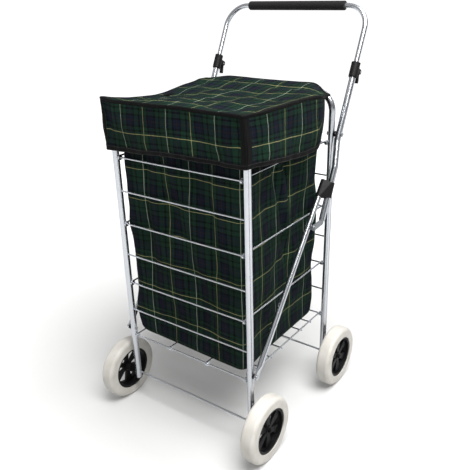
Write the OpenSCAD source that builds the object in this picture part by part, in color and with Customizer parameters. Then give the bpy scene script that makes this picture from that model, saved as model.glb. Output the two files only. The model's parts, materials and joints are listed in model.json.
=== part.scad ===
// Folding four-wheel shopping trolley: two tube-and-wire frames joined by hinged rails,
// a folding telescopic handle on two braces, a fabric bag and a flap lid.
// X runs across, the front faces -Y and the handle is at +Y. The floor is z = 0.

/* [Frame] */
// Distance between the left and right posts, centre to centre
frame_width = 360; // [300:1:440]
// Distance between the front and rear posts, centre to centre
frame_depth = 350; // [290:1:430]
// Outside diameter of the posts and of the rear frame's tube
post_d = 16; // [13:0.1:20]
// Wall of every steel tube
tube_wall = 1.2; // [0.8:0.1:1.5]
// Diameter of the cage wires
wire_d = 4; // [3:0.1:5]
// Height of the top wire above the floor
top_wire_z = 662; // [630:1:690]
// Spacing of the upper wires
upper_pitch = 80.5; // [70:0.5:84]
// Spacing of the lower wires
lower_pitch = 75.5; // [65:0.5:80]
// Height of the centre of the rear frame's top bar
top_bar_z = 782; // [760:1:860]
// Bend radius of the rear frame's top corners, on the tube's centre line
corner_r = 45; // [30:1:70]
// Height of the front posts' upper ends
front_post_top = 698; // [690:1:720]
// Length of each post below the axle
post_foot = 18; // [12:1:24]

/* [Wheels] */
// Diameter over the tyre
wheel_d = 160; // [130:1:195]
// Width of the tyre
tyre_width = 36; // [28:1:43]
// Diameter of the hub's rim, where the tyre sits
rim_d = 110; // [80:1:116]
// Diameter of the axles
axle_d = 5; // [4:0.1:7]
// Gap between a post and the wheel's side
wheel_gap = 12; // [8:0.5:15]
// Windows in each hub
hub_windows = 6; // [4:1:8]

/* [Handle] */
// Lean of the handle from the vertical, in degrees
handle_lean = 26; // [20:1:32]
// Height of the handle's pivot on the rear posts
handle_pivot_z = 686; // [675:1:720]
// Outside diameter of the handle tubes
handle_d = 15; // [13.5:0.1:18]
// Outside diameter of the sliding bow's tube
bow_d = 12; // [10:0.1:12]
// Distance from the pivot to the bow's top bar, along the handle
bow_height = 307; // [290:1:370]
// Bend radius of the bow's corners
bow_r = 55; // [35:1:66]
// Diameter of the foam grip
grip_d = 22; // [18:0.5:27]
// Length of the foam grip
grip_length = 275; // [220:1:280]
// Distance from the pivot to the lower end of the clamp collar
collar_low = 137; // [120:1:160]
// Height of the clamp collar
collar_height = 34; // [28:1:41]
// Thickness of the spacer between a rear post and the handle tube
pivot_spacer = 4; // [3:0.5:6]
// Length of the step that takes each handle tube outwards past its brace
crank_length = 63; // [52:1:76]
// Diameter of the pivot rivets
rivet_d = 6; // [5:0.1:7.2]

/* [Brace] */
// Outside diameter of the braces
brace_d = 13; // [11:0.1:16]
// Height of the brace pivots on the front posts
brace_pivot_z = 212; // [200:1:240]
// Distance from the handle pivot down to the link, along the handle
link_drop = 227; // [205:1:250]
// Distance of the link's rivet in front of the handle tube
link_offset = 32; // [28:1:38]
// Length of the locking sleeve
sleeve_length = 42; // [38:1:62]
// Distance from the link up to the middle of the sleeve, along the brace
sleeve_up = 96; // [80:1:104]

/* [Bag] */
// Gap between the bag and the wires on each side
bag_gap = 8; // [5:1:16]
// Thickness of the padded bag wall
bag_wall = 4; // [3:0.5:6]
// Height of the lid's skirt
lid_skirt = 108; // [90:1:125]
// Thickness of the lid's padded fabric
lid_wall = 3; // [2:0.5:4]

/* [Hidden] */
$fn = 48;
weld = 0.2;          // depth to which a welded wire sinks into its neighbour
run_gap = 0.05;      // radial clearance of a pin or axle in its bore
slide_gap = 0.08;    // radial clearance of a tube that slides in a collar
side_gap = 0.5;      // clearance between parts that pass each other
eye_gap = 0.08;      // radial clearance of a wire eye round its wire

front_y = -frame_depth/2;
rear_y = frame_depth/2;
post_r = post_d/2;
wire_r = wire_d/2;
axle_z = wheel_d/2;
wire_count = 7;
pitch_step = 3;      // the wire at which the spacing changes
rail_levels = [0, 2, 4];
rail_names = ["upper", "middle", "lower"];
function wire_z(i) = top_wire_z - min(i, pitch_step)*upper_pitch - max(i - pitch_step, 0)*lower_pitch;
base_z = wire_z(wire_count - 1);

long_wire_up = wire_d + eye_gap + 0.3;                     // from a hinge wire up to the wire hung on it
eye_outer_r = long_wire_up + wire_r - 0.6;
eye_tail = 1.3;
rail_x = frame_width/2 - post_r - 2 - wire_r;
base_inner_x = frame_width*0.158;
base_stub_x = frame_width/2 - post_r - 1;
cross_count = 6;
cross_pitch = frame_depth*0.137;

handle_x = frame_width/2 + post_r + pivot_spacer + handle_d/2;
brace_x = frame_width/2 + post_r + side_gap + brace_d/2;
handle_low_x = brace_x + brace_d/2 + side_gap + handle_d/2;
crank_top = -(rivet_d/2 + 12);                             // along the handle, from the pivot
crank_low = crank_top - crank_length;
tube_top = collar_low + collar_height - 8;
tube_low = -(link_drop - 24);
bow_low = 62;                                              // lower end of the bow's legs, along the handle
glide_length = 8;
link_y = rear_y - link_drop*sin(handle_lean) - link_offset*cos(handle_lean);
link_z = handle_pivot_z - link_drop*cos(handle_lean) + link_offset*sin(handle_lean);
brace_lean = atan2(link_y - front_y, link_z - brace_pivot_z);
brace_reach = norm([link_y - front_y, link_z - brace_pivot_z]);
brace_top = brace_reach + sleeve_up + sleeve_length/2 - 4;
tongue_t = 4;
tongue_length = 26;
link_t = 4;
lever_v = handle_d/2 + 10;                                 // lever pivot behind the handle tube
lever_u = collar_low + collar_height/2 + 1;
lever_w = 9;
lever_pin_d = 4;
ear_t = 3;

tyre_x = frame_width/2 + post_r + wheel_gap + tyre_width/2;
hub_in = tyre_x - tyre_width/2 + 1;                        // inner end of the hub's boss
hub_out = tyre_x + tyre_width/2 - 7;                       // outer end of the hub's boss
cap_t = 4;
axle_end = hub_out + cap_t - 1;

bag_x = rail_x - wire_r - bag_gap/2;
bag_front = front_y + wire_r + bag_gap;
bag_rear = rear_y - post_r - bag_gap/2;
bag_bottom = base_z + long_wire_up + wire_r + 0.5;
bag_top = top_bar_z + 3;
bag_corner = 22;
lid_top = top_bar_z + post_r + 0.4;
lid_x = frame_width/2 + post_r + 1;
lid_front = front_y - post_r - 4;
lid_rear = rear_y + post_r + 4;
skirt_rear = rear_y - post_r - 7;

grip_y = rear_y + bow_height*sin(handle_lean);
y_middle = (front_y - wheel_d/2 + grip_y + grip_d/2)/2;    // puts the origin under the middle of the whole

chrome = [0.80, 0.81, 0.83];
zinc = [0.62, 0.63, 0.65];
black = [0.08, 0.08, 0.09];
cream = [0.93, 0.91, 0.86];
tartan = [0.10, 0.20, 0.15];

// ---- frames of reference ----

module placed() translate([0, -y_middle, 0]) children();

// Local z runs up the handle from its pivot, local y points to its rear side
module handle_frame() translate([0, rear_y, handle_pivot_z]) rotate([-handle_lean, 0, 0]) children();

// Local z runs up the brace from its pivot
module brace_frame() translate([0, front_y, brace_pivot_z]) rotate([-brace_lean, 0, 0]) children();

module both_sides() {
    children();
    mirror([1, 0, 0]) children();
}

module side(s) {
    if (s > 0) children();
    else mirror([1, 0, 0]) children();
}

// ---- shared shapes ----

// A cylinder along X, between two places on that axis
module rod_x(x0, x1, d) translate([x0, 0, 0]) rotate([0, 90, 0]) cylinder(d = d, h = x1 - x0);

module rod_y(y0, y1, d) translate([0, y0, 0]) rotate([-90, 0, 0]) cylinder(d = d, h = y1 - y0);

module ring_x(x0, x1, d, bore) {
    difference() {
        rod_x(x0, x1, d);
        rod_x(x0 - 1, x1 + 1, bore);
    }
}

module rounded_rect(x0, x1, y0, y1, r) {
    translate([x0 + r, y0]) square([x1 - x0 - 2*r, y1 - y0]);
    translate([x0, y0 + r]) square([x1 - x0, y1 - y0 - 2*r]);
    for (x = [x0 + r, x1 - r], y = [y0 + r, y1 - r]) translate([x, y]) circle(r);
}

// A flat bar with round ends in the local YZ plane, centred on x = 0
module flat_bar(y0, z0, y1, z1, r, t) {
    length = norm([y1 - y0, z1 - z0]);
    for (p = [[y0, z0], [y1, z1]]) translate([0, p[0], p[1]]) rod_x(-t/2, t/2, 2*r);
    translate([0, y0, z0]) rotate([-atan2(y1 - y0, z1 - z0), 0, 0])
        translate([-t/2, -r + 0.02, 0]) cube([t, 2*r - 0.04, length]);
}

// The centre-line solid of the rear frame's U, of any diameter
module u_shape(d, foot) {
    both_sides() {
        translate([frame_width/2, rear_y, foot]) cylinder(d = d, h = top_bar_z - corner_r - foot);
        translate([frame_width/2 - corner_r, rear_y, top_bar_z - corner_r]) rotate([90, 0, 0])
            rotate_extrude(angle = 90) translate([corner_r, 0]) circle(d = d);
    }
    translate([0, rear_y, top_bar_z]) rod_x(-frame_width/2 + corner_r, frame_width/2 - corner_r, d);
}

// The centre-line solid of the sliding bow, in the handle's frame
module bow_shape(d, low) {
    both_sides() {
        translate([handle_x, 0, low]) cylinder(d = d, h = bow_height - bow_r - low);
        translate([handle_x - bow_r, 0, bow_height - bow_r]) rotate([90, 0, 0])
            rotate_extrude(angle = 90) translate([bow_r, 0]) circle(d = d);
    }
    translate([0, 0, bow_height]) rod_x(-handle_x + bow_r, handle_x - bow_r, d);
}

module cage_wires(y) {
    difference() {
        for (i = [0:wire_count - 1]) translate([0, y, wire_z(i)])
            rod_x(-frame_width/2, frame_width/2, wire_d);
        for (x = [-1, 1]*frame_width/2) translate([x, y, base_z - 10])
            cylinder(d = post_d, h = top_wire_z - base_z + 20);
    }
}

module axle_at(y) translate([0, y, axle_z]) rod_x(-axle_end, axle_end, axle_d);

module axle_spacers_at(y) both_sides() translate([0, y, axle_z])
    ring_x(frame_width/2 + post_r, hub_in - 0.4, axle_d + 8, axle_d);

module axle_caps_at(y) both_sides() translate([0, y, axle_z]) difference() {
    union() {
        rod_x(hub_out + 0.4, hub_out + cap_t, axle_d + 6);
        rod_x(hub_out + cap_t, hub_out + cap_t + 1.5, axle_d + 2);
    }
    rod_x(hub_out - 1, axle_end, axle_d);
}

module post_plug(x, y, z) translate([x, y, z]) {
    translate([0, 0, -2]) cylinder(d = post_d, h = 2);
    cylinder(d = post_d - 2*tube_wall, h = 6);
}

// Straight wire with an eye at each end, hung on a wire of the front frame and one of the rear
module hinged_wire(x, z) translate([x, 0, z]) difference() {
    union() {
        for (y = [front_y, rear_y]) translate([0, y, 0])
            rod_x(-wire_r - 0.3, wire_r + 0.3, 2*eye_outer_r);
        translate([0, 0, long_wire_up]) rod_y(front_y - eye_tail, rear_y + eye_tail, wire_d);
    }
    for (y = [front_y, rear_y]) translate([0, y, 0]) rod_x(-wire_d, wire_d, wire_d + 2*eye_gap);
}

// ---- rear frame ----

module rear_tube_frame() color(chrome) placed() difference() {
    u_shape(post_d, axle_z - post_foot);
    u_shape(post_d - 2*tube_wall, axle_z - post_foot - 1);
    translate([0, rear_y, axle_z]) rod_x(-frame_width, frame_width, axle_d);
    translate([0, rear_y, handle_pivot_z]) rod_x(-frame_width, frame_width, rivet_d);
}

module rear_wires() color(chrome) placed() cage_wires(rear_y);

module rear_axle() color(zinc) placed() axle_at(rear_y);

module rear_axle_spacers() color(black) placed() axle_spacers_at(rear_y);

module rear_axle_caps() color(black) placed() axle_caps_at(rear_y);

module rear_post_plugs() color(black) placed()
    for (x = [-1, 1]*frame_width/2) post_plug(x, rear_y, axle_z - post_foot);

module handle_pivot_rivets() color(zinc) placed() both_sides() translate([0, rear_y, handle_pivot_z]) {
    rod_x(frame_width/2 - post_r - 1.5, handle_x + handle_d/2 + 2, rivet_d);
    rod_x(frame_width/2 - post_r - 1.5, frame_width/2 - post_r, rivet_d + 4);
    rod_x(handle_x + handle_d/2 + 0.3, handle_x + handle_d/2 + 2.3, rivet_d + 4);
}

module handle_pivot_spacers() color(black) placed() both_sides() translate([0, rear_y, handle_pivot_z])
    ring_x(frame_width/2 + post_r, handle_x - handle_d/2 - 0.3, rivet_d + 7, rivet_d);

// ---- front frame ----

module front_post(s) color(chrome) placed() side(s) difference() {
    translate([frame_width/2, front_y, axle_z - post_foot])
        cylinder(d = post_d, h = front_post_top - axle_z + post_foot);
    translate([frame_width/2, front_y, axle_z - post_foot - 1])
        cylinder(d = post_d - 2*tube_wall, h = front_post_top - axle_z + post_foot + 2);
    translate([0, front_y, axle_z]) rod_x(0, frame_width, axle_d);
    translate([0, front_y, brace_pivot_z]) rod_x(0, frame_width, rivet_d);
}

module front_post_left() front_post(-1);
module front_post_right() front_post(1);

module front_wires() color(chrome) placed() cage_wires(front_y);

module front_axle() color(zinc) placed() axle_at(front_y);

module front_axle_spacers() color(black) placed() axle_spacers_at(front_y);

module front_axle_caps() color(black) placed() axle_caps_at(front_y);

module front_post_plugs() color(black) placed()
    for (x = [-1, 1]*frame_width/2) post_plug(x, front_y, axle_z - post_foot);

module front_post_top_caps() color(black) placed() both_sides()
    translate([frame_width/2, front_y, front_post_top]) mirror([0, 0, 1]) post_plug(0, 0, 0);

module brace_pivot_spacers() color(black) placed() both_sides() translate([0, front_y, brace_pivot_z])
    ring_x(frame_width/2 + post_r, brace_x - tongue_t/2 - 0.3, rivet_d + 6, rivet_d);

module brace_pivot_rivets() color(zinc) placed() both_sides() translate([0, front_y, brace_pivot_z]) {
    rod_x(frame_width/2 - post_r - 1.5, brace_x + tongue_t/2 + 2, rivet_d);
    rod_x(frame_width/2 - post_r - 1.5, frame_width/2 - post_r, rivet_d + 4);
    rod_x(brace_x + tongue_t/2 + 0.3, brace_x + tongue_t/2 + 2.6, rivet_d + 5);
}

// ---- floor of the cage and side rails ----

module base_long_wires() color(chrome) placed()
    for (x = [-rail_x, -base_inner_x, base_inner_x, rail_x]) hinged_wire(x, base_z);

module base_cross_wires() color(chrome) placed()
    for (i = [0:cross_count - 1])
        translate([0, (i - (cross_count - 1)/2)*cross_pitch, base_z + long_wire_up - wire_d + weld])
            rod_x(-base_stub_x, base_stub_x, wire_d);

module side_rail(level, s) color(chrome) placed() hinged_wire(s*rail_x, wire_z(rail_levels[level]));

module side_rail_upper_left() side_rail(0, -1);
module side_rail_upper_right() side_rail(0, 1);
module side_rail_middle_left() side_rail(1, -1);
module side_rail_middle_right() side_rail(1, 1);
module side_rail_lower_left() side_rail(2, -1);
module side_rail_lower_right() side_rail(2, 1);

// ---- braces and locking sleeves ----

module brace(s) color(chrome) placed() side(s) brace_frame() difference() {
    union() {
        translate([brace_x, 0, tongue_length]) cylinder(d = brace_d, h = brace_top - tongue_length);
        translate([brace_x, 0, 0]) flat_bar(0, 0, 0, tongue_length/2, rivet_d/2 + 3.5, tongue_t);
        hull() {
            translate([brace_x - tongue_t/2, -rivet_d/2 - 3.5, tongue_length/2 - 1])
                cube([tongue_t, rivet_d + 7, 1]);
            translate([brace_x, 0, tongue_length - 1]) cylinder(d = brace_d, h = 1, $fn = 32);
        }
    }
    translate([brace_x, 0, tongue_length + 2]) cylinder(d = brace_d - 2*tube_wall, h = brace_top);
    rod_x(brace_x - brace_d, brace_x + brace_d, rivet_d + 2*run_gap);
}

module brace_left() brace(-1);
module brace_right() brace(1);

module brace_end_plugs() color(black) placed() both_sides() brace_frame()
    translate([brace_x, 0, brace_top]) {
        translate([0, 0, -12]) cylinder(d = brace_d - 2*tube_wall, h = 12);
        cylinder(d = brace_d, h = 2);
    }

// A casing round the brace with a channel for the handle tube that is open to the rear
module lock_sleeve(s) color(black) placed() side(s) difference() {
    hull() {
        brace_frame() translate([brace_x, 0, brace_reach + sleeve_up - sleeve_length/2])
            cylinder(d = brace_d + 3, h = sleeve_length, $fn = 32);
        handle_frame() translate([handle_low_x, 0, -(link_drop - sleeve_up) - sleeve_length/2 + 2])
            cylinder(d = handle_d + 3, h = sleeve_length - 6, $fn = 32);
    }
    brace_frame() translate([brace_x, 0, brace_reach + sleeve_up - sleeve_length])
        cylinder(d = brace_d + 2*slide_gap, h = 2*sleeve_length);
    handle_frame() translate([handle_low_x, 0, -link_drop]) {
        cylinder(d = handle_d + 2*side_gap, h = link_drop);
        translate([-handle_d/2 - side_gap, 0, 0]) cube([handle_d + 2*side_gap, handle_d*2, link_drop]);
    }
}

module lock_sleeve_left() lock_sleeve(-1);
module lock_sleeve_right() lock_sleeve(1);

// ---- handle ----

// The handle tube steps outwards below the pivot, so that it clears the brace
module handle_line(d, low, top) {
    translate([handle_x, 0, crank_top]) cylinder(d = d, h = top - crank_top);
    hull() {
        translate([handle_x, 0, crank_top - 1]) cylinder(d = d, h = 1, $fn = 32);
        translate([handle_low_x, 0, crank_low]) cylinder(d = d, h = 1, $fn = 32);
    }
    translate([handle_low_x, 0, low]) cylinder(d = d, h = crank_low - low);
}

module handle_tube(s) color(chrome) placed() side(s) handle_frame() difference() {
    handle_line(handle_d, tube_low, tube_top);
    handle_line(handle_d - 2*tube_wall, tube_low - 1, tube_top + 1);
    rod_x(handle_x - handle_d, handle_x + handle_d, rivet_d + 2*run_gap);
}

module handle_tube_left() handle_tube(-1);
module handle_tube_right() handle_tube(1);

module link_plate(s) color(zinc) placed() side(s) handle_frame() difference() {
    translate([handle_low_x, 0, 0]) {
        translate([0, 0, tube_low - 3]) cylinder(d = handle_d - 0.4, h = 3);
        translate([0, 0, tube_low]) cylinder(d = handle_d - 2*tube_wall, h = 14);
        flat_bar(0, tube_low - 6, -link_offset, -link_drop, rivet_d/2 + 4, link_t);
    }
    translate([0, -link_offset, -link_drop]) rod_x(brace_x, handle_low_x + 10, rivet_d);
}

module link_plate_left() link_plate(-1);
module link_plate_right() link_plate(1);

module link_rivets() color(zinc) placed() both_sides() handle_frame()
    translate([0, -link_offset, -link_drop]) {
        rod_x(brace_x + brace_d/2 + side_gap, handle_low_x + link_t/2 + 2, rivet_d);
        rod_x(brace_x + brace_d/2 + side_gap, handle_low_x - link_t/2, rivet_d + 5);
        rod_x(handle_low_x + link_t/2, handle_low_x + link_t/2 + 2.4, rivet_d + 5);
    }

module clamp_collar(s) color(black) placed() side(s) handle_frame() difference() {
    union() {
        translate([handle_x, 0, collar_low]) cylinder(d = handle_d + 6, h = collar_height);
        translate([handle_x, 0, collar_low - 2]) cylinder(d = handle_d + 3, h = 2);
        for (x = [-1, 1]*(lever_w/2 + 0.3 + ear_t/2)) translate([handle_x + x, 0, 0])
            flat_bar(handle_d/2 + 1.5, lever_u, lever_v, lever_u, 6, ear_t);
    }
    translate([handle_x, 0, collar_low - 3]) cylinder(d = handle_d, h = tube_top - collar_low + 3);
    translate([handle_x, 0, tube_top - 1]) cylinder(d = bow_d + 2*slide_gap, h = collar_height);
    translate([0, lever_v, lever_u]) rod_x(handle_x - 20, handle_x + 20, lever_pin_d);
}

module clamp_collar_left() clamp_collar(-1);
module clamp_collar_right() clamp_collar(1);

module clamp_pins() color(zinc) placed() both_sides() handle_frame() translate([0, lever_v, lever_u])
    rod_x(handle_x - lever_w/2 - ear_t - 1, handle_x + lever_w/2 + ear_t + 1, lever_pin_d);

module clamp_lever(s) color(black) placed() side(s) handle_frame() difference() {
    translate([handle_x, 0, 0]) {
        translate([0, lever_v, lever_u]) rod_x(-lever_w/2, lever_w/2, 13);
        flat_bar(lever_v + 2, lever_u, lever_v + 8, lever_u - 22, 3, lever_w - 1);
    }
    translate([0, lever_v, lever_u]) rod_x(handle_x - 20, handle_x + 20, lever_pin_d + 2*run_gap);
}

module clamp_lever_left() clamp_lever(-1);
module clamp_lever_right() clamp_lever(1);

module handle_bow() color(chrome) placed() handle_frame() difference() {
    bow_shape(bow_d, bow_low);
    bow_shape(bow_d - 2*tube_wall, bow_low - 1);
}

module bow_glides() color(black) placed() both_sides() handle_frame()
    translate([handle_x, 0, bow_low - glide_length/2]) {
        cylinder(d = handle_d - 2*tube_wall - 2*slide_gap, h = glide_length/2);
        cylinder(d = bow_d - 2*tube_wall, h = glide_length*1.5);
    }

module handle_grip() color(black) placed() handle_frame() translate([0, 0, bow_height])
    difference() {
        union() {
            rod_x(-grip_length/2 + 3, grip_length/2 - 3, grip_d);
            for (x = [-1, 1]*(grip_length/2 - 3)) translate([x, 0, 0]) rotate([0, 90, 0])
                rotate_extrude() translate([grip_d/2 - 3, 0]) circle(r = 3);
            rod_x(-grip_length/2, grip_length/2, grip_d - 6);
        }
        rod_x(-grip_length, grip_length, bow_d);
    }

// ---- wheels ----

module tyre(s, y) color(cream) placed() side(s) translate([tyre_x, y, axle_z]) rotate([0, 90, 0])
    rotate_extrude($fn = 96) {
        shoulder = 9;
        translate([rim_d/2, -tyre_width/2]) square([wheel_d/2 - rim_d/2 - shoulder, tyre_width]);
        translate([rim_d/2, -tyre_width/2 + shoulder])
            square([wheel_d/2 - rim_d/2, tyre_width - 2*shoulder]);
        for (v = [-1, 1]*(tyre_width/2 - shoulder)) translate([wheel_d/2 - shoulder, v])
            circle(shoulder);
    }

module hub(s, y) color(black) placed() side(s) translate([0, y, axle_z]) difference() {
    rim_t = 6;
    web_x = tyre_x + tyre_width/2 - 12;
    union() {
        difference() {
            rod_x(tyre_x - tyre_width/2 + 2, tyre_x + tyre_width/2 - 2, rim_d, $fn = 96);
            rod_x(tyre_x - tyre_width, web_x - 3, rim_d - 2*rim_t, $fn = 96);
            rod_x(web_x + 3, tyre_x + tyre_width, rim_d - 2*rim_t, $fn = 96);
            rotate([0, 90, 0]) for (i = [0:hub_windows - 1]) rotate([0, 0, (i + 0.5)*360/hub_windows])
                intersection() {
                    translate([0, 0, web_x - 10]) difference() {
                        cylinder(r = rim_d/2 - rim_t - 3, h = 20);
                        translate([0, 0, -1]) cylinder(r = axle_d/2 + 12, h = 22);
                    }
                    translate([0, 0, web_x - 11]) linear_extrude(22)
                        polygon([[8, 0], [rim_d, -rim_d*tan(90/hub_windows)*1.25],
                            [rim_d, rim_d*tan(90/hub_windows)*1.25]]);
                }
        }
        rod_x(hub_in, hub_out, axle_d + 17);
    }
    rod_x(hub_in - 1, hub_out + 1, axle_d + 2*run_gap);
}

module tyre_front_left() tyre(-1, front_y);
module tyre_front_right() tyre(1, front_y);
module tyre_rear_left() tyre(-1, rear_y);
module tyre_rear_right() tyre(1, rear_y);
module hub_front_left() hub(-1, front_y);
module hub_front_right() hub(1, front_y);
module hub_rear_left() hub(-1, rear_y);
module hub_rear_right() hub(1, rear_y);

// ---- bag and lid ----

module bag() color(tartan) placed() difference() {
    translate([0, 0, bag_bottom]) linear_extrude(bag_top - bag_bottom)
        rounded_rect(-bag_x, bag_x, bag_front, bag_rear, bag_corner);
    translate([0, 0, bag_bottom + bag_wall]) linear_extrude(bag_top - bag_bottom)
        rounded_rect(-bag_x + bag_wall, bag_x - bag_wall, bag_front + bag_wall,
            bag_rear - bag_wall, bag_corner - bag_wall);
}

module lid() color(tartan) placed() {
    translate([-lid_x - lid_wall, lid_front - lid_wall, lid_top])
        cube([2*(lid_x + lid_wall), lid_rear - lid_front + lid_wall, lid_wall]);
    translate([-lid_x - lid_wall, lid_front - lid_wall, lid_top - lid_skirt])
        cube([2*(lid_x + lid_wall), lid_wall, lid_skirt]);
    both_sides() translate([lid_x, lid_front, lid_top - lid_skirt])
        cube([lid_wall, skirt_rear - lid_front, lid_skirt]);
}

rear_tube_frame();
rear_wires();
rear_axle();
rear_axle_spacers();
rear_axle_caps();
rear_post_plugs();
handle_pivot_rivets();
handle_pivot_spacers();
bag();
front_post_left();
front_post_right();
front_wires();
front_axle();
front_axle_spacers();
front_axle_caps();
front_post_plugs();
front_post_top_caps();
brace_pivot_spacers();
brace_pivot_rivets();
base_long_wires();
base_cross_wires();
side_rail_upper_left();
side_rail_upper_right();
side_rail_middle_left();
side_rail_middle_right();
side_rail_lower_left();
side_rail_lower_right();
brace_left();
brace_right();
brace_end_plugs();
lock_sleeve_left();
lock_sleeve_right();
handle_tube_left();
handle_tube_right();
link_plate_left();
link_plate_right();
link_rivets();
clamp_collar_left();
clamp_collar_right();
clamp_pins();
clamp_lever_left();
clamp_lever_right();
handle_bow();
bow_glides();
handle_grip();
tyre_front_left();
tyre_front_right();
tyre_rear_left();
tyre_rear_right();
hub_front_left();
hub_front_right();
hub_rear_left();
hub_rear_right();
lid();
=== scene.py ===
import bpy, bmesh, json, math
import numpy as np
from mathutils import Matrix, Vector


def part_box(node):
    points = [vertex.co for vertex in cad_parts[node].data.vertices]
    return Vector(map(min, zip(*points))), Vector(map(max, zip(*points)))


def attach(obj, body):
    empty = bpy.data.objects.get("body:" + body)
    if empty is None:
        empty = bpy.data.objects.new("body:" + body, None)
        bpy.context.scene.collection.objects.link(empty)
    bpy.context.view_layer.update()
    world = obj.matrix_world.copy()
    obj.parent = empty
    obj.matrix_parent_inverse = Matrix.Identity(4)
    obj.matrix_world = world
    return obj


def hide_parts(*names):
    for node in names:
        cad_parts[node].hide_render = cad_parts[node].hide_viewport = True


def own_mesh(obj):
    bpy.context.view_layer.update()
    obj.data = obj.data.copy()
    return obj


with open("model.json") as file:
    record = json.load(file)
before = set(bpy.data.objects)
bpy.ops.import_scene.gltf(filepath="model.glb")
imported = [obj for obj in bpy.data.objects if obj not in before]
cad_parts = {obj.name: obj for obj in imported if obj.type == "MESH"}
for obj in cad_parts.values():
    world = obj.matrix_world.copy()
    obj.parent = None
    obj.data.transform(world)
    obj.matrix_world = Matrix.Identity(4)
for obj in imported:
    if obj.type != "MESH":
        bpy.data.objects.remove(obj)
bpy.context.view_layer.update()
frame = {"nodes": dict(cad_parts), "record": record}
print("frame loaded,", len(frame["nodes"]), "nodes")

# the lengths below are in metres from the middle between the four posts; yMid puts them in the frame
postLo, postHi = [np.array(c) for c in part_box("front_post_left")]
rearLo, rearHi = [np.array(c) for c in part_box("rear_tube_frame")]
yMid = -((postLo[1] + postHi[1]) / 2 + (rearLo[1] + rearHi[1]) / 2) / 2
postsMiddle = np.array((0, yMid, 0))


def addObject(name, data):
    ob = bpy.data.objects.new(name, data)
    bpy.context.scene.collection.objects.link(ob)
    return ob


# angles in degrees, lens and sensor in millimetres
cameraSet = dict(place=(0.7979, -1.0690, 1.0132), azimuth=36.063, elevation=23.0, roll=-1.46,
                 lens=45.116, sensor=36.0, clipEnd=600)


def makeCamera(c):
    az, el, ro = (math.radians(c[k]) for k in ("azimuth", "elevation", "roll"))
    back = Vector((math.sin(az) * math.cos(el), -math.cos(az) * math.cos(el), math.sin(el)))
    right = Vector((math.cos(az), math.sin(az), 0))
    up = back.cross(right)
    rolledRight = right * math.cos(ro) + up * math.sin(ro)
    rolledUp = -right * math.sin(ro) + up * math.cos(ro)
    m = Matrix((rolledRight, rolledUp, back)).transposed().to_4x4()
    m.translation = Vector(c["place"]) - Vector((0, yMid, 0))
    data = bpy.data.cameras.new("camera")
    data.lens, data.sensor_width, data.clip_end = c["lens"], c["sensor"], c["clipEnd"]
    cam = addObject("camera", data)
    cam.matrix_world = m
    bpy.context.scene.camera = cam


makeCamera(cameraSet)

studio = dict(
    # name, place, aim, width, height, watts
    lights=(("keyLight", (1.0, -0.4, 2.8), (0, 0, 0.5), 1.9, 1.9, 165),
            ("fillLight", (-2.4, -1.4, 1.6), (0, 0, 0.4), 1.4, 1.4, 5),
            ("rimLight", (0.2, 2.4, 2.4), (0, 0, 0.5), 2.4, 1.0, 14)),
    # the floor glows more from glowStart outwards, and fully from glowEnd on
    floorHex="B9B9B8", floorHalf=150.0, glowNear=0.10, glowFar=0.85, glowStart=0.35, glowEnd=1.8,
    # the sky that the metal reflects: colours, the heights at which they start and end, strength
    skyLow="4E5155", skyHigh="FFFFFF", skyStart=0.08, skyEnd=0.55, skyPower=0.5, behindHex="FFFFFF",
    # dark cards on the floor that only reflections see, so that the tubes show stripes:
    # name, direction and half width in degrees, near and far distance
    cards=(("darkCardFront", -28.0, 7.0, 0.30, 3.0), ("darkCardRear", 74.0, 26.0, 0.42, 3.0)),
    cardHex="6E7072", cardLift=0.0012, cardSteps=8)


def linear(hexCode, alpha=1.0):  # sRGB hex to Blender's linear colour
    rgb = [int(hexCode[i:i + 2], 16) / 255 for i in (0, 2, 4)]
    return tuple(c / 12.92 if c <= 0.04045 else ((c + 0.055) / 1.055) ** 2.4 for c in rgb) + (alpha,)


def addNode(tree, kind, settings=None, links=None):
    # one node with its settings, and links given as input: socket
    n = tree.nodes.new(kind)
    for key, value in (settings or {}).items():
        if isinstance(key, str) and hasattr(n, key):
            setattr(n, key, value)
        else:
            n.inputs[key].default_value = value
    for key, source in (links or {}).items():
        tree.links.new(source, n.inputs[key])
    return n


def makeLights(s):
    for name, place, aim, w, h, power in s["lights"]:
        data = bpy.data.lights.new(name, "AREA")
        data.shape, data.size, data.size_y, data.energy = "RECTANGLE", w, h, power
        ob = addObject(name, data)
        ob.location = place
        ob.rotation_euler = (Vector(aim) - Vector(place)).to_track_quat("-Z", "Y").to_euler()


def makeSky(s):
    world = bpy.data.worlds.new("studioSky")
    bpy.context.scene.world = world
    world.use_nodes = True
    tree = world.node_tree
    tree.nodes.clear()
    way = addNode(tree, "ShaderNodeTexCoord")
    height = addNode(tree, "ShaderNodeSeparateXYZ", links={0: way.outputs["Generated"]})
    ramp = addNode(tree, "ShaderNodeValToRGB", links={0: height.outputs[2]})
    low, high = ramp.color_ramp.elements
    low.position, low.color = s["skyStart"], linear(s["skyLow"])
    high.position, high.color = s["skyEnd"], linear(s["skyHigh"])
    sky = addNode(tree, "ShaderNodeBackground", {"Strength": s["skyPower"]}, {"Color": ramp.outputs[0]})
    # what shows behind the floor's far edge
    behind = addNode(tree, "ShaderNodeBackground", {"Strength": 1.0, "Color": linear(s["behindHex"])})
    seen = addNode(tree, "ShaderNodeLightPath").outputs["Is Camera Ray"]
    both = addNode(tree, "ShaderNodeMixShader", links={0: seen, 1: sky.outputs[0], 2: behind.outputs[0]})
    addNode(tree, "ShaderNodeOutputWorld", links={"Surface": both.outputs[0]})


def newMaterial(name):
    m = bpy.data.materials.new(name)
    m.use_nodes = True
    m.node_tree.nodes.clear()
    return m, m.node_tree


def finishMaterial(tree, shader):
    addNode(tree, "ShaderNodeOutputMaterial", links={"Surface": shader.outputs[0]})


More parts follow.
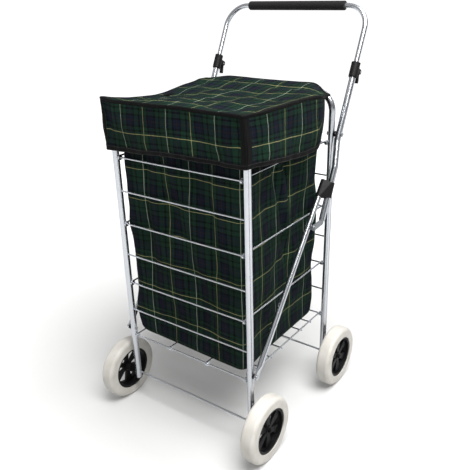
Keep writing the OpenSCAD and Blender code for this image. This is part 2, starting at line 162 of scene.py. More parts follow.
def makeFloor(s):
    # matt white studio paper with painted light: its emission makes it brighter away from the object, as a
    # lit sweep is
    m, tree = newMaterial("paperFloor")
    where = addNode(tree, "ShaderNodeTexCoord").outputs["Object"]
    away = addNode(tree, "ShaderNodeVectorMath", {"operation": "LENGTH"}, {0: where})
    glow = addNode(tree, "ShaderNodeMapRange",
                   {"From Min": s["glowStart"], "From Max": s["glowEnd"],
                    "To Min": s["glowNear"], "To Max": s["glowFar"]}, {"Value": away.outputs["Value"]})
    paper = addNode(tree, "ShaderNodeBsdfPrincipled",
                    {"Base Color": linear(s["floorHex"]), "Roughness": 0.95, "Specular IOR Level": 0.1,
                     "Emission Color": linear("FFFFFF")}, {"Emission Strength": glow.outputs[0]})
    finishMaterial(tree, paper)
    k = s["floorHalf"]
    me = bpy.data.meshes.new("studioFloor")
    me.from_pydata([(-k, -k, 0), (k, -k, 0), (k, k, 0), (-k, k, 0)], [], [(0, 1, 2, 3)])
    me.materials.append(m)
    addObject("studioFloor", me)


def makeCards(s):
    # a sector of a flat ring: near and far arcs, each at the angles direction - half to direction + half
    m, tree = newMaterial("darkCard")
    finishMaterial(tree, addNode(tree, "ShaderNodeBsdfDiffuse", {"Color": linear(s["cardHex"])}))
    steps = s["cardSteps"]
    for name, direction, half, near, far in s["cards"]:
        a = np.radians(np.linspace(direction - half, direction + half, steps + 1))
        ring = [(r * math.cos(t), r * math.sin(t), s["cardLift"]) for r in (near, far) for t in a]
        quads = [(i, i + steps + 1, i + steps + 2, i + 1) for i in range(steps)]
        me = bpy.data.meshes.new(name)
        me.from_pydata(ring, [], quads)
        me.materials.append(m)
        ob = addObject(name, me)
        ob.visible_camera = ob.visible_diffuse = ob.visible_shadow = False


makeLights(studio)
makeSky(studio)
makeFloor(studio)
makeCards(studio)
bpy.context.scene.view_settings.view_transform = "Standard"
print("camera, lights and floor made")


# grain is the number of bumps in a metre, depth their strength
metals = dict(
    # plated drawn tube: bright, with a faint grain from the drawing
    chromePlatedSteel=dict(hexCode="C1C4C9", roughness=0.24, grain=900.0, depth=0.002),
    # duller plating with a fine sparkle
    zincPlatedSteel=dict(hexCode="B4B7BB", roughness=0.32, grain=1400.0, depth=0.004))
mouldings = dict(
    # injection moulded, with a fine spark-eroded texture
    blackNylon=dict(hexCode="0B0B0C", second="101012", roughness=0.48, grain=1600.0, depth=0.25, gloss=0.16),
    # cells of about 0.9 mm scatter the light
    closedCellFoam=dict(hexCode="0C0C0D", second="151517", roughness=0.86, grain=1100.0, depth=0.9,
                        sheen=0.06, gloss=0.2),
    # foamed EVA: satin, with a faintly mottled skin
    whiteEvaTyre=dict(hexCode="BDBAB4", second="A8A49C", roughness=0.5, grain=260.0, depth=0.35, mix=0.6),
    # bonded nylon thread
    sewingThread=dict(hexCode="2B2C2A", second="3A3B38", roughness=0.55, grain=2600.0, depth=0.5,
                      mix=0.8, gloss=0.3))


def metalFinish(name, hexCode, roughness, grain, depth, blotch=60.0, dull=0.9):
    # blotches vary the roughness and darken the colour down to its share dull
    m, tree = newMaterial(name)
    where = addNode(tree, "ShaderNodeTexCoord").outputs["Object"]
    cloud = addNode(tree, "ShaderNodeTexNoise", {"Scale": blotch, "Detail": 3.0}, {"Vector": where})
    rough = addNode(tree, "ShaderNodeMapRange", {"To Min": roughness * 0.75, "To Max": roughness * 1.3},
                    {"Value": cloud.outputs[0]})
    fine = addNode(tree, "ShaderNodeTexNoise", {"Scale": grain, "Detail": 2.0}, {"Vector": where})
    bump = addNode(tree, "ShaderNodeBump", {"Strength": depth, "Distance": 0.0002},
                   {"Height": fine.outputs[0]})
    bright = linear(hexCode)
    dark = tuple(c * dull for c in bright[:3]) + (1,)
    tint = addNode(tree, "ShaderNodeMix", {"data_type": "RGBA", 6: bright, 7: dark}, {0: cloud.outputs[0]})
    finishMaterial(tree, addNode(tree, "ShaderNodeBsdfPrincipled", {"Metallic": 1.0},
                                 {"Base Color": tint.outputs[2], "Roughness": rough.outputs[0],
                                  "Normal": bump.outputs[0]}))
    return m


def mouldedFinish(name, hexCode, second, roughness, grain, depth, sheen=0.0, mix=0.3, gloss=0.5, mottle=34.0):
    # mottling mixes up to the share mix of the second colour in, and varies the roughness
    m, tree = newMaterial(name)
    where = addNode(tree, "ShaderNodeTexCoord").outputs["Object"]
    cloud = addNode(tree, "ShaderNodeTexNoise", {"Scale": mottle, "Detail": 5.0}, {"Vector": where})
    spread = addNode(tree, "ShaderNodeMapRange",
                     {"From Min": 0.35, "From Max": 0.7, "To Min": 0.0, "To Max": mix},
                     {"Value": cloud.outputs[0]})
    tint = addNode(tree, "ShaderNodeMix", {"data_type": "RGBA", 6: linear(hexCode), 7: linear(second)},
                   {0: spread.outputs[0]})
    rough = addNode(tree, "ShaderNodeMapRange",
                    {"To Min": roughness * 0.85, "To Max": min(1.0, roughness * 1.2)},
                    {"Value": cloud.outputs[0]})
    fine = addNode(tree, "ShaderNodeTexNoise", {"Scale": grain, "Detail": 3.0, "Roughness": 0.7},
                   {"Vector": where})
    bump = addNode(tree, "ShaderNodeBump", {"Strength": depth, "Distance": 0.0004},
                   {"Height": fine.outputs[0]})
    finishMaterial(tree, addNode(tree, "ShaderNodeBsdfPrincipled",
                                 {"Sheen Weight": sheen, "Specular IOR Level": gloss},
                                 {"Base Color": tint.outputs[2], "Roughness": rough.outputs[0],
                                  "Normal": bump.outputs[0]}))
    return m


finishes = {name: metalFinish(name, **values) for name, values in metals.items()}
finishes.update({name: mouldedFinish(name, **values) for name, values in mouldings.items()})

hardLooks = {"chrome": "chromePlatedSteel", "zinc": "zincPlatedSteel", "black_plastic": "blackNylon",
             "foam": "closedCellFoam", "tyre": "whiteEvaTyre"}
for part in frame["record"]["subparts"]:
    if part["material_slot"] in hardLooks:
        me = frame["nodes"][part["node"]].data
        me.materials.clear()
        me.materials.append(finishes[hardLooks[part["material_slot"]]])
print("hard finishes set")


tartan = dict(
    # the repeats across and along the cloth; the threads are drawn about three times as coarse as real
    # ones, so that the twill shows
    warpPitch=0.130, weftPitch=0.072, thread=0.0014,
    colours=dict(green="10241B", blue="0B111C", black="020303", rust="2A1612", pale="B4BCA8", gold="BAB27C"),
    # bands of colour, each from its place in the repeat to the next
    warpBands=((0.0, "green"), (0.09, "black"), (0.12, "green"), (0.19, "black"), (0.22, "blue"),
               (0.278, "rust"), (0.287, "blue"), (0.34, "black"), (0.37, "green"), (0.46, "black"),
               (0.49, "green"), (0.64, "black"), (0.67, "blue"), (0.735, "rust"), (0.744, "blue"),
               (0.80, "black"), (0.83, "green"), (0.90, "black"), (0.93, "green")),
    weftBands=((0.0, "green"), (0.16, "black"), (0.21, "green"), (0.30, "black"), (0.35, "blue"),
               (0.48, "rust"), (0.495, "blue"), (0.62, "black"), (0.67, "green"), (0.79, "black"),
               (0.84, "green")),
    # single light lines: direction, place in the repeat, colour, weight
    lines=(("warp", 0.06, "pale", 0.36), ("warp", 0.56, "gold", 0.28), ("weft", 0.08, "gold", 0.36)),
    lineHalf=0.00065, lineSoft=0.3,
    twillLow=0.34, twillHigh=0.62, fadeLow=0.78, fadeHigh=1.2,
    roughness=0.78, sheen=0.005, gloss=0.05)
# the tape's colour, and a lighter colour painted on the rib crests as a painted highlight
webbing = dict(rib=0.0016, hex="030303", ribCrestHighlightHex="080809", roughness=0.66, sheen=0.006, gloss=0.08)


def bandRamp(tree, value, bands, colours):  # flat bands of colour
    ramp = addNode(tree, "ShaderNodeValToRGB", links={0: value})
    cr = ramp.color_ramp
    cr.interpolation = "CONSTANT"
    for stop, (place, colour) in zip(cr.elements, bands):
        stop.position, stop.color = place, linear(colours[colour])
    for place, colour in bands[len(cr.elements):]:
        cr.elements.new(place).color = linear(colours[colour])
    return ramp.outputs[0]


def tartanCloth(t):
    m, tree = newMaterial("wovenTartan")  # polyester twill: dull, with a soft sheen at grazing angles
    uv = addNode(tree, "ShaderNodeUVMap", {"uv_map": "cut"})
    cut = addNode(tree, "ShaderNodeSeparateXYZ", links={0: uv.outputs[0]})
    where = addNode(tree, "ShaderNodeTexCoord").outputs["Object"]

    def mathNode(operation, a, b=None, settings=None):
        links = {0: a} if b is None else {0: a, 1: b}
        return addNode(tree, "ShaderNodeMath", {"operation": operation, **(settings or {})}, links).outputs[0]

    def threads(value):  # one sine wave for each thread
        return mathNode("SINE", mathNode("MULTIPLY", value, settings={1: 2 * math.pi / t["thread"]}))

    places, pitches, bases = {}, {}, {}
    for axis, way in enumerate(("warp", "weft")):
        pitches[way] = t[way + "Pitch"]
        places[way] = mathNode("FRACT", mathNode("DIVIDE", cut.outputs[axis], settings={1: pitches[way]}))
        bases[way] = bandRamp(tree, places[way], t[way + "Bands"], t["colours"])
    # the warp and the weft show in turn along the twill's diagonals
    twill = threads(mathNode("ADD", cut.outputs[0], cut.outputs[1]))
    share = addNode(tree, "ShaderNodeMapRange", {"From Min": -1.0, "From Max": 1.0, "To Min": t["twillLow"],
                                                 "To Max": t["twillHigh"]}, {"Value": twill})
    colour = addNode(tree, "ShaderNodeMix", {"data_type": "RGBA"},
                     {0: share.outputs[0], 6: bases["warp"], 7: bases["weft"]}).outputs[2]
    for way, place, name, weight in t["lines"]:
        gap = mathNode("ABSOLUTE", mathNode("SUBTRACT", places[way], settings={1: place}))
        half = t["lineHalf"] / pitches[way]
        mask = addNode(tree, "ShaderNodeMapRange",
                       {"From Min": half * (1 - t["lineSoft"]), "From Max": half * (1 + t["lineSoft"]),
                        "To Min": weight, "To Max": 0.0}, {"Value": gap})
        colour = addNode(tree, "ShaderNodeMix", {"data_type": "RGBA", 7: linear(t["colours"][name])},
                         {0: mask.outputs[0], 6: colour}).outputs[2]
    # faded and darker patches
    fade = addNode(tree, "ShaderNodeTexNoise", {"Scale": 9.0, "Detail": 4.0}, {"Vector": where})
    worn = addNode(tree, "ShaderNodeMapRange", {"From Min": 0.3, "From Max": 0.75, "To Min": t["fadeLow"],
                                                "To Max": t["fadeHigh"]}, {"Value": fade.outputs[0]})
    shade = addNode(tree, "ShaderNodeVectorMath", {"operation": "SCALE"},
                    {0: colour, "Scale": worn.outputs[0]})
    # bump: the twill's diagonals with 0.6 of the weft's ridges, over small creases
    ridges = addNode(tree, "ShaderNodeMath", {"operation": "MULTIPLY_ADD", 1: 0.6},
                     {0: threads(cut.outputs[1]), 2: twill})
    weave = addNode(tree, "ShaderNodeBump", {"Strength": 0.35, "Distance": 0.00025},
                    {"Height": ridges.outputs[0]})
    crease = addNode(tree, "ShaderNodeTexNoise", {"Scale": 42.0, "Detail": 3.0, "Distortion": 0.6},
                     {"Vector": where})
    bump = addNode(tree, "ShaderNodeBump", {"Strength": 0.5, "Distance": 0.002},
                   {"Height": crease.outputs[0], "Normal": weave.outputs[0]})
    finishMaterial(tree, addNode(tree, "ShaderNodeBsdfPrincipled",
                                 {"Roughness": t["roughness"], "Sheen Weight": t["sheen"],
                                  "Sheen Roughness": 0.4, "Specular IOR Level": t["gloss"]},
                                 {"Base Color": shade.outputs[0], "Normal": bump.outputs[0]}))
    return m


def ribbedTape(w):
    m, tree = newMaterial("grosgrainTape")  # woven polyester tape: fine ribs, a slight shine
    uv = addNode(tree, "ShaderNodeUVMap", {"uv_map": "cut"})
    cut = addNode(tree, "ShaderNodeSeparateXYZ", links={0: uv.outputs[0]})
    phase = addNode(tree, "ShaderNodeMath", {"operation": "MULTIPLY", 1: 2 * math.pi / w["rib"]},
                    {0: cut.outputs[0]})
    ribs = addNode(tree, "ShaderNodeMath", {"operation": "SINE"}, {0: phase.outputs[0]})
    # painted highlight: the tint follows the ribs and is lighter on their crests
    high = addNode(tree, "ShaderNodeMapRange", {"From Min": -1.0, "From Max": 1.0},
                   {"Value": ribs.outputs[0]})
    tint = addNode(tree, "ShaderNodeMix", {"data_type": "RGBA", 6: linear(w["hex"]), 7: linear(w["ribCrestHighlightHex"])},
                   {0: high.outputs[0]})
    bump = addNode(tree, "ShaderNodeBump", {"Strength": 0.4, "Distance": 0.0003}, {"Height": ribs.outputs[0]})
    finishMaterial(tree, addNode(tree, "ShaderNodeBsdfPrincipled",
                                 {"Roughness": w["roughness"], "Sheen Weight": w["sheen"],
                                  "Specular IOR Level": w["gloss"]},
                                 {"Base Color": tint.outputs[2], "Normal": bump.outputs[0]}))
    return m


tartanLook = tartanCloth(tartan)
tapeLook = ribbedTape(webbing)
print("cloth finishes made")


def smoothStep(a, b, x):  # 0 below a, 1 above b, and a smooth S between
    t = np.clip((x - a) / (b - a), 0, 1)
    return t * t * (3 - 2 * t)


def ripple(u, v, seed, waves=7, shrink=0.6, closer=0.9):
    # a sum of sine waves in random directions, each closer and lower than the one before, from about -1 to 1
    rng = np.random.default_rng(seed)
    total = np.zeros_like(u)
    for i in range(waves):
        a, b, p, w = rng.uniform(-1, 1), rng.uniform(-1, 1), rng.uniform(0, 2 * math.pi), shrink ** i
        total += w * np.sin(2 * math.pi * (1 + closer * i) * (a * u + b * v) + p)
    return total / 2.4  # nearly the sum of the heights


def gridPiece(name, points, cut, looks, lookAt=None, thick=0.0016):
    # points is rows by columns by 3, in metres from the middle between the posts; cut is the flat cloth's own
    # measure; lookAt says which of the looks each cell has
    rows, cols = points.shape[:2]
    at = points.reshape(-1, 3) - postsMiddle
    index = np.arange(rows * cols).reshape(rows, cols)
    quads = np.stack((index[:-1, :-1], index[:-1, 1:], index[1:, 1:], index[1:, :-1]), -1).reshape(-1, 4)
    me = bpy.data.meshes.new(name)
    me.from_pydata(at.tolist(), [], quads.tolist())
    layer = me.uv_layers.new(name="cut")
    corner = np.empty(len(me.loops), np.int32)
    me.loops.foreach_get("vertex_index", corner)
    layer.data.foreach_set("uv", cut.reshape(-1, 2)[corner].astype(np.float32).ravel())
    for look in looks:
        me.materials.append(look)
    if lookAt is not None:
        me.polygons.foreach_set("material_index", lookAt.reshape(-1).astype(np.int32))
    me.polygons.foreach_set("use_smooth", np.ones(len(quads), bool))
    ob = addObject(name, me)
    bm = bmesh.new()
    bm.from_mesh(me)
    bmesh.ops.remove_doubles(bm, verts=bm.verts, dist=1e-6)
    bmesh.ops.recalc_face_normals(bm, faces=bm.faces)
    bm.to_mesh(me)
    bm.free()
    if thick:
        mod = ob.modifiers.new("cloth", "SOLIDIFY")
        mod.thickness, mod.offset = thick, 0.0
        bpy.context.view_layer.objects.active = ob
        with bpy.context.temp_override(object=ob, active_object=ob, selected_objects=[ob]):
            bpy.ops.object.modifier_apply(modifier=mod.name)
    return ob


def cellMiddles(values):
    return (values[1:, 1:] + values[:-1, :-1]) / 2


bag = dict(
    left=-0.1635, right=0.160, front=-0.1690, rear=0.156, low=0.2035, rim=0.774, corner=0.019, foot=0.024,
    across=320, up=150, floorRows=26, floorFrom=0.001, floorTo=0.93,
    # how far out the rails and the wires let the cloth go
    railX=0.1646, wireFront=0.1718, wireRear=0.1715,
    rimTape=0.012, footTape=0.010,
    # creases: share of the depth, waves round the bag, lean, waves up the wall, seed
    crease=0.0085, creases=((1.0, 5, 0.0, 1.2, 11), (0.6, 11, 0.3, 2.4, 12)),
    # sharp folds: place round the bag at the rim, drift per rise, half width, depth
    folds=((0.694, 0.12, 0.0095, 0.0085), (0.716, 0.115, 0.011, -0.005), (0.752, 0.05, 0.009, 0.006),
           (0.425, -0.01, 0.010, 0.0065), (0.452, -0.012, 0.012, -0.004), (0.560, 0.02, 0.010, 0.004),
           (0.20, -0.04, 0.008, 0.006), (0.93, 0.03, 0.010, 0.005)),
    rearLean=0.012, floorWave=0.003, rimWave=0.006, frontSag=0.007)


def roundedLoop(s, x0, x1, y0, y1, r):
    # the point at distance s from 0 to 1 round a rectangle with round corners, starting at the middle of the
    # rear side: the straight runs and the quarter circles take turns, each as long as its share of the way
    w, d = x1 - x0 - 2 * r, y1 - y0 - 2 * r
    q = math.pi * r / 2
    parts = np.array((w / 2, q, d, q, w, q, d, q, w / 2))
    ends = np.concatenate(([0], np.cumsum(parts)))
    at = s * ends[-1]
    xm = (x0 + x1) / 2
    x, y = np.zeros_like(at), np.zeros_like(at)
    corners = ((x0 + r, y1 - r, 90), (x0 + r, y0 + r, 180), (x1 - r, y0 + r, 270), (x1 - r, y1 - r, 0))
    for i in range(len(parts)):
        on = (at >= ends[i]) & (at <= ends[i + 1] + 1e-12)
        t = at - ends[i]
        if i % 2:
            cx, cy, a0 = corners[i // 2]
            a = np.radians(a0) + t / r
            px, py = cx + r * np.cos(a), cy + r * np.sin(a)
        else:
            px = (xm - t, x0 + 0 * t, x0 + r + t, x1 + 0 * t, x1 - r - t)[i // 2]
            py = (y1 + 0 * t, y1 - r - t, y0 + 0 * t, y0 + r + t, y1 + 0 * t)[i // 2]
        x, y = np.where(on, px, x), np.where(on, py, y)
    return x, y, ends[-1]


def within(value, limit, soft=0.0012):
    # value bent so that it stays below the limit: -soft * log(exp(-value / soft) + exp(-limit / soft))
    return -soft * np.logaddexp(-value / soft, -limit / soft)


def makeBag(b):
    # rows go from the middle of the floor outwards, round the foot, and up the wall; columns go round the bag
    s = np.linspace(0, 1, b["across"] + 1)[None, :]
    h = b["rim"] - b["low"]
    wall = np.linspace(0, 1, b["up"])[:, None]
    floorIn = np.linspace(b["floorFrom"], b["floorTo"], b["floorRows"])[:, None]
    inset = np.concatenate((1 - floorIn, np.zeros_like(wall)))  # share of the way in to the middle
    rise = np.concatenate((np.zeros_like(floorIn), wall))  # share of the way up the wall
    onFloor = rise <= 0
    x, y, girth = roundedLoop(s + 0 * inset, b["left"], b["right"], b["front"], b["rear"], b["corner"])
    z = rise * h
    # round foot: near the bottom the wall pulls in along a quarter circle
    foot = np.clip(1 - z / b["foot"], 0, 1)
    pull = np.where(onFloor, b["foot"], b["foot"] * (1 - np.sqrt(np.clip(1 - foot ** 2, 0, 1))))
    cx, cy = (b["left"] + b["right"]) / 2, (b["front"] + b["rear"]) / 2
    halfX, halfY = (b["right"] - b["left"]) / 2, (b["rear"] - b["front"]) / 2
    px = cx + (x - cx) * (1 - pull / halfX) * (1 - inset)
    py = cy + (y - cy) * (1 - pull / halfY) * (1 - inset)
    # nx and ny are the shares of the way out to the walls, onX and onY the wall that a point is on
    nx, ny = (x - cx) / halfX, (y - cy) / halfY
    onX, onY = (smoothStep(0.8, 1, np.abs(n)) * np.sign(n) for n in (nx, ny))
    # creases lean and fade: none at the floor, full from 0.15 of the height up, half as deep at the rim
    depth = sum(share * ripple(s * wavesRound + lean * rise, rise * wavesUp + 0 * s, seed)
                for share, wavesRound, lean, wavesUp, seed in b["creases"])
    slack = b["crease"] * depth * smoothStep(0.0, 0.15, rise) * (1 - 0.5 * smoothStep(0.9, 1.0, rise))
    for place, drift, half, deep in b["folds"]:  # a bell curve across the fold that fades out low down
        bell = np.exp(-((s - place - drift * (1 - rise)) / half) ** 2)
        slack = slack - deep * bell * smoothStep(0.12, 0.5, rise)
    px = px + onX * slack
    py = py + onY * slack - b["rearLean"] * smoothStep(0.5, 1, ny) * (1 - rise) * ~onFloor
    # the rails and the wires hold the cloth in
    px = np.where(px < 0, -within(-px, b["railX"]), within(px, b["railX"]))
    py = np.where(py < 0, -within(-py, b["wireFront"]), within(py, b["wireRear"]))
    pz = b["low"] + z + b["floorWave"] * (1 + ripple(s * 3 + 0 * rise, 0 * rise, 15)) * onFloor * (1 - inset)
    pz = pz + b["rimWave"] * ripple(s * 6 + 0 * rise, 0 * rise, 16) * smoothStep(0.9, 1, rise)
    # the front edge sinks towards its right corner
    sag = smoothStep(0.36, 0.62, s) * (1 - smoothStep(0.64, 0.70, s))
    pz = pz - b["frontSag"] * sag * (1 - smoothStep(0.0, 0.2, rise)) * ~onFloor
    points = np.stack((px, py, pz), -1)
    wallCut = np.stack((s * girth + 0 * rise, z + 0 * s), -1)
    cut = np.where(onFloor[..., None], np.stack((px, py), -1), wallCut)
    mid = (rise[:-1] + rise[1:]) / 2 * h
    onTape = (mid > h - b["rimTape"]) | ((mid < b["footTape"]) & (mid > 0)) | np.zeros_like(s[:, 1:], bool)
    ob = gridPiece("clothBag", points, cut, [tartanLook, tapeLook], onTape)
    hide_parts("bag")
    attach(ob, "rear_frame")
    return ob


clothBag = makeBag(bag)
print("bag made")


lid = dict(
    frontY=-0.188, rearY=0.186, wide=0.390, top=0.7925, across=150, deep=140, thick=0.002,
    # the plan: its left and right edges, how far they draw in or out, how far the rear corners tuck in
    leftX=-0.197, leftDraw=0.002, rightX=0.181, rightDraw=0.012, frontBow=0.003, tuckX=0.014, tuckY=0.024,
    # the top's own hollows and rises
    cornerRise=0.004, leftDip=0.018, middleDip=0.007, barRise=0.004, rightDip=0.006, rearDrop=0.005,
    rightRearDrop=0.010, puckers=((0.0066, 1.9, 21), (0.0032, 4.4, 22)),
    # the skirt: heights of its hem, its rear end and its depth as sewn
    hemLeft=0.681, hemRight=0.691, hemRear=0.668, skirtEnd=0.136, drop=0.110, around=360, down=48,
    leanLeft=0.007, leanRight=0.006, bulge=0.004, hemWave=0.002, rearRise=0.032, rearDraw=0.012,
    cornerTuck=0.006, folds=0.0052, wrinkles=0.0036,
    # widths of the tapes, and how far each corner's tape reaches to the two sides of its seam
    tape=0.005, hem=0.012, topTape=0.0055, endTape=0.017, leftSeam=(-0.010, 0.005), rightSeam=(-0.008, 0.016),
    # where the patterns start on the flat cloth
    topCut=(0.02, 0.01), skirtCut=(0.012, 0.79))


def topHeight(u, v):
    # height of the lid's top, by share u across from the left and v back from the front: the hollows are
    # bell curves and half sine waves, the rest are smooth steps, and two ripples pucker it
    k = lid
    z = k["top"] + k["cornerRise"] * np.exp(-((u / 0.06) ** 2 + (v / 0.08) ** 2))
    z = z - k["leftDip"] * np.exp(-(u / 0.30) ** 2) * np.sin(math.pi * np.clip(v / 0.93, 0, 1)) ** 1.3
    z = z - k["middleDip"] * np.sin(math.pi * u) * np.sin(math.pi * np.clip(v / 0.9, 0, 1))
    z = z + k["barRise"] * smoothStep(0.86, 0.95, v) * (1 - smoothStep(0.9, 1, u))
    z = z - k["rightDip"] * smoothStep(0.93, 1, u) * smoothStep(0.5, 0.8, v) * (1 - smoothStep(0.86, 0.92, v))
    # the rear corners follow the bar's bends, the right one more
    drop = k["rearDrop"] + k["rightRearDrop"] * smoothStep(0.4, 0.6, u)
    z = z - drop * smoothStep(0.6, 1, np.abs(2 * u - 1)) * smoothStep(0.7, 1, v)
    # puckers are flattened near the sewn edges and over the bar
    pucker = sum(high * ripple(u * waves, v * waves, seed) for high, waves, seed in k["puckers"])
    edge = np.clip(np.minimum(np.minimum(u, 1 - u), np.minimum(v, 1 - v)) / 0.12, 0.25, 1)
    bar = 1 - smoothStep(0.84, 0.9, v) * (1 - smoothStep(0.985, 1.0, v))
    return z + pucker * edge * np.clip(bar, 0.15, 1)


def lidPlan(u, v):
    # plan of the lid's top: at each v a straight line from the left edge to the right one; the left front
    # corner is drawn out, the right front one drawn in, and smooth steps round the rear corners
    k = lid
    leftX = k["leftX"] + k["leftDraw"] * smoothStep(0, 0.55, v)
    rightX = k["rightX"] + k["rightDraw"] * smoothStep(0, 0.2, v)
    x = leftX + (rightX - leftX) * u
    y = k["frontY"] + (k["rearY"] - k["frontY"]) * v + k["frontBow"] * np.sin(math.pi * u) * (1 - v) ** 3
    tuck = smoothStep(0.60, 1, np.abs(2 * u - 1)) * smoothStep(0.72, 1, v)
    return x - k["tuckX"] * tuck * np.sign(u - 0.5), y - k["tuckY"] * tuck


def makeLidTop(k):
    # the plan and the height on a grid of shares u across and v back
    v, u = np.meshgrid(np.linspace(0, 1, k["deep"]), np.linspace(0, 1, k["across"]), indexing="ij")
    x, y = lidPlan(u, v)
    points = np.stack((x, y, topHeight(u, v)), -1)
    cut = np.stack((x + k["topCut"][0], y + k["topCut"][1]), -1)
    tape, wide, deep = k["tape"], k["wide"], k["rearY"] - k["frontY"]
    across, back = cellMiddles(u) * wide, cellMiddles(v) * deep
    onTape = (across < tape * 0.6) | (wide - across < tape) | (back < tape) | (deep - back < tape)
    ob = gridPiece("lidTop", points, cut, [tartanLook, tapeLook], onTape, thick=k["thick"])
    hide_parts("lid")
    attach(ob, "lid_flap")
    return ob


def skirtPoint(t, h):
    # t runs from the left side's rear edge round the front to the right side's rear edge, h from the top down
    # to the hem: a straight line down from the top's edge to the hem, with folds that push it out and in
    k = lid
    side, wide = k["skirtEnd"] - k["frontY"], k["wide"]
    a = t * (2 * side + wide)
    onLeft, onRight = a < side, a > side + wide
    onSide = onLeft | onRight
    # s is the share back along a side, f the share across the front
    s = np.where(onLeft, (side - a) / side, np.where(onRight, (a - side - wide) / side, 0))
    f = np.clip((a - side) / wide, 0, 1)
    u = np.where(onLeft, 0.0, np.where(onRight, 1.0, f))
    v = np.where(onSide, s * side / (k["rearY"] - k["frontY"]), 0)
    x, y = lidPlan(u, v)
    top = topHeight(u, v) - 0.0015  # just under the top's cloth
    lean = np.where(onLeft, k["leanLeft"] * (1 - smoothStep(0, 0.7, s)),
                    np.where(onRight, k["leanRight"] * (1 - smoothStep(0, 0.3, s)),
                             k["leanLeft"] + (k["leanRight"] - k["leanLeft"]) * f))
    x = x + lean * h
    hem = np.where(onLeft, k["hemLeft"] + (k["hemRear"] - k["hemLeft"]) * smoothStep(0, 0.75, s),
                   np.where(onRight, k["hemRight"] + (k["hemRear"] - k["hemRight"]) * smoothStep(0, 0.7, s),
                            k["hemLeft"] + (k["hemRight"] - k["hemLeft"]) * f))
    hem = hem + np.where(onSide, k["rearRise"] * smoothStep(0.8, 1.0, s), 0)
    z = top + (hem - top) * h - k["hemWave"] * np.sin(f * 9) * h
    # folds and wrinkles that deepen towards the hem, and a bulge half way down
    fold = k["folds"] * (0.25 + h) * ripple(t * 5 + 0.15 * h, h * 0.7, 31)
    fold = fold + k["wrinkles"] * (0.15 + h) * ripple(t * 12, h * 1.5, 32)
    out = fold * smoothStep(0.0, 0.2, h + 0.05) + k["bulge"] * np.sin(math.pi * h)
    x = x + np.where(onLeft, -out, np.where(onRight, out, 0))
    y = y + np.where(onSide, -k["rearDraw"] * h * smoothStep(0.75, 1.0, s), -out)
    # the front is drawn in beside the two corner seams, most half way down
    seam = np.minimum(np.abs(a - side), np.abs(a - side - wide))
    gathered = np.exp(-((seam - 0.014) / 0.012) ** 2) * np.sin(math.pi * np.clip(h * 1.15, 0, 1))
    y = y + k["cornerTuck"] * gathered * (np.abs(a - side - wide / 2) < wide / 2)
    return np.stack((x, y, z), -1), a


def makeLidSkirt(k):
    # the skirt's points on a grid of shares t round and h down
    h, t = np.meshgrid(np.linspace(0, 1, k["down"]), np.linspace(0, 1, k["around"]), indexing="ij")
    points, a = skirtPoint(t, h)
    cut = np.stack((a + k["skirtCut"][0], k["skirtCut"][1] - k["drop"] * h), -1)
    down, run = cellMiddles(h) * k["drop"], cellMiddles(a)
    last = a.max()
    onTape = (down > k["drop"] - k["hem"]) | (down < k["topTape"])
    onTape = onTape | (run < k["endTape"]) | (run > last - k["endTape"])
    leftCorner = k["skirtEnd"] - k["frontY"]
    for corner, (before, after) in ((leftCorner, k["leftSeam"]), (leftCorner + k["wide"], k["rightSeam"])):
        onTape = onTape | ((run > corner + before) & (run < corner + after))
    ob = gridPiece("lidSkirt", points, cut, [tartanLook, tapeLook], onTape, thick=k["thick"])
    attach(ob, "lid_flap")
    return ob


def sweep(name, path, radius, looks, sides=12):
    # a round bead carried along a path: at each point a ring square to the path, closed at both ends
    tangent = np.gradient(path, axis=0)
    tangent /= np.linalg.norm(tangent, axis=1)[:, None]
    side = np.cross(tangent, (0.0, 0.0, 1.0))
    side /= np.linalg.norm(side, axis=1)[:, None]
    up = np.cross(side, tangent)
    a = np.linspace(0, 2 * math.pi, sides + 1)[None, :, None]
    ring = path[:, None] + radius * (np.cos(a) * side[:, None] + np.sin(a) * up[:, None])
    points = np.concatenate((path[:1, None] + 0 * ring[:1], ring, path[-1:, None] + 0 * ring[-1:]))
    run = np.concatenate(([0], np.cumsum(np.linalg.norm(np.diff(path, axis=0), axis=1))))
    run = np.concatenate((run[:1], run, run[-1:]))
    cut = np.stack(np.broadcast_arrays(run[:, None], (a[..., 0] * radius)), -1)
    return gridPiece(name, points, cut, looks, thick=0)


stitch = dict(
    pitch=0.0042, length=0.0029, radius=0.00032, lift=0.0012, samples=1600, ends=(0.004, 0.996), corners=6,
    # the rows' places down the skirt: beside the hem's tape, and at its edge
    heights=(1 - lid["hem"] / lid["drop"] + 0.018, 0.985),
    # each ring of one stitch: share of its length, share of its radius
    rings=((0.0, 0.25), (0.12, 1.0), (0.88, 1.0), (1.0, 0.25)))


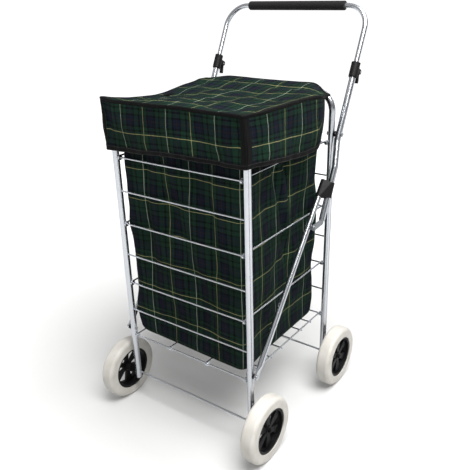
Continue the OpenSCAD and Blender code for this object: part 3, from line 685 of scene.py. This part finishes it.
def makeStitches(k):
    # rows of sewn thread just off the skirt's outside: each stitch is a six-sided bead of four rings, thin at
    # both ends; w points across the stitch and o out of the cloth, and a ring turns from the one to the other
    t = np.linspace(*k["ends"], k["samples"])
    along, thickness = np.array(k["rings"]).T
    corners = k["corners"]
    turn = (np.arange(corners) * 2 * math.pi / corners)[None, None, :, None]
    rows = []
    for h in k["heights"]:
        at = skirtPoint(t, 0 * t + h)[0]
        ahead, above = skirtPoint(t + 0.001, 0 * t + h)[0], skirtPoint(t, 0 * t + h - 0.01)[0]
        out = np.cross(above - at, ahead - at)
        out /= np.linalg.norm(out, axis=1)[:, None]
        out *= np.sign(np.sum(out[:, :2] * at[:, :2], axis=1))[:, None]
        at = at + out * k["lift"]
        run = np.concatenate(([0], np.cumsum(np.linalg.norm(np.diff(at, axis=0), axis=1))))
        starts = np.arange(0, run[-1] - k["length"], k["pitch"])
        places = starts[:, None] + k["length"] * along[None, :]
        p, o = (np.stack([np.interp(places, run, line[:, i]) for i in range(3)], -1) for line in (at, out))
        w = np.cross(p[:, -1:] - p[:, :1], o)
        w /= np.linalg.norm(w, axis=-1)[..., None]
        size = k["radius"] * thickness[None, :, None, None]
        rows.append(p[:, :, None] + size * (np.cos(turn) * w[:, :, None] + np.sin(turn) * o[:, :, None]))
    beads = np.concatenate(rows)
    count = len(along) * corners
    index = np.arange(count).reshape(len(along), corners)
    around = np.roll(index, -1, 1)
    sides = np.stack((index[:-1], around[:-1], around[1:], index[1:]), -1).reshape(-1, 4)
    caps = np.stack((index[0][::-1], index[-1]))
    shift = count * np.arange(len(beads))[:, None, None]
    faces = [f for shape in (sides, caps) for f in (shape[None] + shift).reshape(-1, shape.shape[1]).tolist()]
    me = bpy.data.meshes.new("lidStitches")
    me.from_pydata((beads.reshape(-1, 3) - postsMiddle).tolist(), [], faces)
    me.materials.append(finishes["sewingThread"])
    me.polygons.foreach_set("use_smooth", np.ones(len(me.polygons), bool))
    ob = addObject("lidStitches", me)
    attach(ob, "lid_flap")
    return ob


piping = dict(radius=0.0030, steps=90, sunk=0.001)


def makePiping(k):
    # black piping sewn along all four edges of the top: the edges' points in one loop, each the mean of
    # itself, counted twice, and its two neighbours
    s = np.linspace(0, 1, k["steps"])[:-1]
    u = np.concatenate((0 * s, s, 0 * s + 1, 1 - s))
    v = np.concatenate((1 - s, 0 * s, s, 0 * s + 1))
    x, y = lidPlan(u, v)
    path = np.stack((x, y, topHeight(u, v) - k["sunk"]), -1)
    path = (np.roll(path, 1, 0) + 2 * path + np.roll(path, -1, 0)) / 4
    ob = sweep("lidPiping", np.concatenate((path, path[:1])), k["radius"], [tapeLook])
    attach(ob, "lid_flap")
    return ob


lidTop = makeLidTop(lid)
lidSkirt = makeLidSkirt(lid)
lidPiping = makePiping(piping)
lidStitches = makeStitches(stitch)
print("lid made")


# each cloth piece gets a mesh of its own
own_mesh(clothBag)
for piece in (lidTop, lidSkirt, lidPiping, lidStitches):
    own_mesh(piece)
